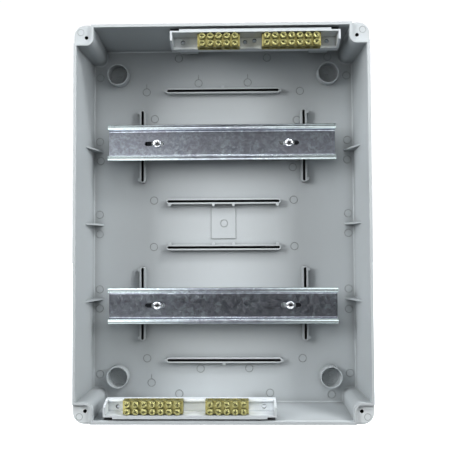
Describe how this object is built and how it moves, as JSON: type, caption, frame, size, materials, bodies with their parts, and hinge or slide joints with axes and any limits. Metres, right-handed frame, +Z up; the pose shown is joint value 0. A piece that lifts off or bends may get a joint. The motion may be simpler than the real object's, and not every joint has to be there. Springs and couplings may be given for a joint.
{
  "type": "distribution enclosure base",
  "caption": "Open base of a two-row surface-mounted distribution enclosure, with two top-hat rails, two clip-in terminal carriers and brass earth and neutral bars.",
  "frame": {"origin": "middle of the back face that lies on the wall", "axes": "+Z up the enclosure's height, +Y into the wall, +X to the right as seen by a person facing the open front"},
  "size_m": [0.269, 0.072, 0.361],
  "materials": {
    "enclosure_plastic": "moulded light grey, fine satin",
    "rail_galvanised": "galvanised, spangled",
    "screw_zinc": "bright zinc",
    "carrier_plastic": "white moulded, satin",
    "bar_brass": "drawn brass",
    "clamp_screw_brass": "turned brass"
  },
  "bodies": {
    "enclosure": {"enclosure_base": "enclosure_plastic"},
    "upper_rail": {"upper_din_rail": "rail_galvanised"},
    "lower_rail": {"lower_din_rail": "rail_galvanised"},
    "upper_left_rail_screw": {"upper_left_rail_screw": "screw_zinc"},
    "upper_right_rail_screw": {"upper_right_rail_screw": "screw_zinc"},
    "lower_left_rail_screw": {"lower_left_rail_screw": "screw_zinc"},
    "lower_right_rail_screw": {"lower_right_rail_screw": "screw_zinc"},
    "upper_carrier": {"upper_terminal_carrier": "carrier_plastic", "upper_five_way_bar": "bar_brass", "upper_seven_way_bar": "bar_brass"},
    "lower_carrier": {"lower_terminal_carrier": "carrier_plastic", "lower_five_way_bar": "bar_brass", "lower_seven_way_bar": "bar_brass"},
    "upper_five_way_clamp_screws_1": {"upper_five_way_clamp_screws_1": "clamp_screw_brass"},
    "upper_five_way_clamp_screws_2": {"upper_five_way_clamp_screws_2": "clamp_screw_brass"},
    "upper_five_way_clamp_screws_3": {"upper_five_way_clamp_screws_3": "clamp_screw_brass"},
    "upper_five_way_clamp_screws_4": {"upper_five_way_clamp_screws_4": "clamp_screw_brass"},
    "upper_five_way_clamp_screws_5": {"upper_five_way_clamp_screws_5": "clamp_screw_brass"},
    "upper_seven_way_clamp_screws_1": {"upper_seven_way_clamp_screws_1": "clamp_screw_brass"},
    "upper_seven_way_clamp_screws_2": {"upper_seven_way_clamp_screws_2": "clamp_screw_brass"},
    "upper_seven_way_clamp_screws_3": {"upper_seven_way_clamp_screws_3": "clamp_screw_brass"},
    "upper_seven_way_clamp_screws_4": {"upper_seven_way_clamp_screws_4": "clamp_screw_brass"},
    "upper_seven_way_clamp_screws_5": {"upper_seven_way_clamp_screws_5": "clamp_screw_brass"},
    "upper_seven_way_clamp_screws_6": {"upper_seven_way_clamp_screws_6": "clamp_screw_brass"},
    "upper_seven_way_clamp_screws_7": {"upper_seven_way_clamp_screws_7": "clamp_screw_brass"},
    "lower_five_way_clamp_screws_1": {"lower_five_way_clamp_screws_1": "clamp_screw_brass"},
    "lower_five_way_clamp_screws_2": {"lower_five_way_clamp_screws_2": "clamp_screw_brass"},
    "lower_five_way_clamp_screws_3": {"lower_five_way_clamp_screws_3": "clamp_screw_brass"},
    "lower_five_way_clamp_screws_4": {"lower_five_way_clamp_screws_4": "clamp_screw_brass"},
    "lower_five_way_clamp_screws_5": {"lower_five_way_clamp_screws_5": "clamp_screw_brass"},
    "lower_seven_way_clamp_screws_1": {"lower_seven_way_clamp_screws_1": "clamp_screw_brass"},
    "lower_seven_way_clamp_screws_2": {"lower_seven_way_clamp_screws_2": "clamp_screw_brass"},
    "lower_seven_way_clamp_screws_3": {"lower_seven_way_clamp_screws_3": "clamp_screw_brass"},
    "lower_seven_way_clamp_screws_4": {"lower_seven_way_clamp_screws_4": "clamp_screw_brass"},
    "lower_seven_way_clamp_screws_5": {"lower_seven_way_clamp_screws_5": "clamp_screw_brass"},
    "lower_seven_way_clamp_screws_6": {"lower_seven_way_clamp_screws_6": "clamp_screw_brass"},
    "lower_seven_way_clamp_screws_7": {"lower_seven_way_clamp_screws_7": "clamp_screw_brass"}
  },
  "joints": [
    {"name": "upper_rail_shift", "type": "slide", "parent": "enclosure", "child": "upper_rail", "axis": [1, 0, 0], "range_m": [-0.005, 0.007]},
    {"name": "lower_rail_shift", "type": "slide", "parent": "enclosure", "child": "lower_rail", "axis": [1, 0, 0], "range_m": [-0.0055, 0.0065]},
    {"name": "upper_left_rail_screw_travel", "type": "slide", "parent": "enclosure", "child": "upper_left_rail_screw", "axis": [0, -1, 0], "range_m": [0, 0.012]},
    {"name": "upper_right_rail_screw_travel", "type": "slide", "parent": "enclosure", "child": "upper_right_rail_screw", "axis": [0, -1, 0], "range_m": [0, 0.012]},
    {"name": "lower_left_rail_screw_travel", "type": "slide", "parent": "enclosure", "child": "lower_left_rail_screw", "axis": [0, -1, 0], "range_m": [0, 0.012]},
    {"name": "lower_right_rail_screw_travel", "type": "slide", "parent": "enclosure", "child": "lower_right_rail_screw", "axis": [0, -1, 0], "range_m": [0, 0.012]},
    {"name": "upper_carrier_pull", "type": "slide", "parent": "enclosure", "child": "upper_carrier", "axis": [0, -1, 0], "range_m": [0, 0.06]},
    {"name": "lower_carrier_pull", "type": "slide", "parent": "enclosure", "child": "lower_carrier", "axis": [0, -1, 0], "range_m": [0, 0.06]},
    {"name": "upper_five_way_clamp_screws_1_travel", "type": "slide", "parent": "upper_carrier", "child": "upper_five_way_clamp_screws_1", "axis": [0, 1, 0], "range_m": [-0.0015, 0.0014]},
    {"name": "upper_five_way_clamp_screws_2_travel", "type": "slide", "parent": "upper_carrier", "child": "upper_five_way_clamp_screws_2", "axis": [0, 1, 0], "range_m": [-0.0015, 0.0014]},
    {"name": "upper_five_way_clamp_screws_3_travel", "type": "slide", "parent": "upper_carrier", "child": "upper_five_way_clamp_screws_3", "axis": [0, 1, 0], "range_m": [-0.0015, 0.0014]},
    {"name": "upper_five_way_clamp_screws_4_travel", "type": "slide", "parent": "upper_carrier", "child": "upper_five_way_clamp_screws_4", "axis": [0, 1, 0], "range_m": [-0.0015, 0.0014]},
    {"name": "upper_five_way_clamp_screws_5_travel", "type": "slide", "parent": "upper_carrier", "child": "upper_five_way_clamp_screws_5", "axis": [0, 1, 0], "range_m": [-0.0015, 0.0014]},
    {"name": "upper_seven_way_clamp_screws_1_travel", "type": "slide", "parent": "upper_carrier", "child": "upper_seven_way_clamp_screws_1", "axis": [0, 1, 0], "range_m": [-0.0015, 0.0014]},
    {"name": "upper_seven_way_clamp_screws_2_travel", "type": "slide", "parent": "upper_carrier", "child": "upper_seven_way_clamp_screws_2", "axis": [0, 1, 0], "range_m": [-0.0015, 0.0014]},
    {"name": "upper_seven_way_clamp_screws_3_travel", "type": "slide", "parent": "upper_carrier", "child": "upper_seven_way_clamp_screws_3", "axis": [0, 1, 0], "range_m": [-0.0015, 0.0014]},
    {"name": "upper_seven_way_clamp_screws_4_travel", "type": "slide", "parent": "upper_carrier", "child": "upper_seven_way_clamp_screws_4", "axis": [0, 1, 0], "range_m": [-0.0015, 0.0014]},
    {"name": "upper_seven_way_clamp_screws_5_travel", "type": "slide", "parent": "upper_carrier", "child": "upper_seven_way_clamp_screws_5", "axis": [0, 1, 0], "range_m": [-0.0015, 0.0014]},
    {"name": "upper_seven_way_clamp_screws_6_travel", "type": "slide", "parent": "upper_carrier", "child": "upper_seven_way_clamp_screws_6", "axis": [0, 1, 0], "range_m": [-0.0015, 0.0014]},
    {"name": "upper_seven_way_clamp_screws_7_travel", "type": "slide", "parent": "upper_carrier", "child": "upper_seven_way_clamp_screws_7", "axis": [0, 1, 0], "range_m": [-0.0015, 0.0014]},
    {"name": "lower_five_way_clamp_screws_1_travel", "type": "slide", "parent": "lower_carrier", "child": "lower_five_way_clamp_screws_1", "axis": [0, 1, 0], "range_m": [-0.0015, 0.0014]},
    {"name": "lower_five_way_clamp_screws_2_travel", "type": "slide", "parent": "lower_carrier", "child": "lower_five_way_clamp_screws_2", "axis": [0, 1, 0], "range_m": [-0.0015, 0.0014]},
    {"name": "lower_five_way_clamp_screws_3_travel", "type": "slide", "parent": "lower_carrier", "child": "lower_five_way_clamp_screws_3", "axis": [0, 1, 0], "range_m": [-0.0015, 0.0014]},
    {"name": "lower_five_way_clamp_screws_4_travel", "type": "slide", "parent": "lower_carrier", "child": "lower_five_way_clamp_screws_4", "axis": [0, 1, 0], "range_m": [-0.0015, 0.0014]},
    {"name": "lower_five_way_clamp_screws_5_travel", "type": "slide", "parent": "lower_carrier", "child": "lower_five_way_clamp_screws_5", "axis": [0, 1, 0], "range_m": [-0.0015, 0.0014]},
    {"name": "lower_seven_way_clamp_screws_1_travel", "type": "slide", "parent": "lower_carrier", "child": "lower_seven_way_clamp_screws_1", "axis": [0, 1, 0], "range_m": [-0.0015, 0.0014]},
    {"name": "lower_seven_way_clamp_screws_2_travel", "type": "slide", "parent": "lower_carrier", "child": "lower_seven_way_clamp_screws_2", "axis": [0, 1, 0], "range_m": [-0.0015, 0.0014]},
    {"name": "lower_seven_way_clamp_screws_3_travel", "type": "slide", "parent": "lower_carrier", "child": "lower_seven_way_clamp_screws_3", "axis": [0, 1, 0], "range_m": [-0.0015, 0.0014]},
    {"name": "lower_seven_way_clamp_screws_4_travel", "type": "slide", "parent": "lower_carrier", "child": "lower_seven_way_clamp_screws_4", "axis": [0, 1, 0], "range_m": [-0.0015, 0.0014]},
    {"name": "lower_seven_way_clamp_screws_5_travel", "type": "slide", "parent": "lower_carrier", "child": "lower_seven_way_clamp_screws_5", "axis": [0, 1, 0], "range_m": [-0.0015, 0.0014]},
    {"name": "lower_seven_way_clamp_screws_6_travel", "type": "slide", "parent": "lower_carrier", "child": "lower_seven_way_clamp_screws_6", "axis": [0, 1, 0], "range_m": [-0.0015, 0.0014]},
    {"name": "lower_seven_way_clamp_screws_7_travel", "type": "slide", "parent": "lower_carrier", "child": "lower_seven_way_clamp_screws_7", "axis": [0, 1, 0], "range_m": [-0.0015, 0.0014]}
  ]
}
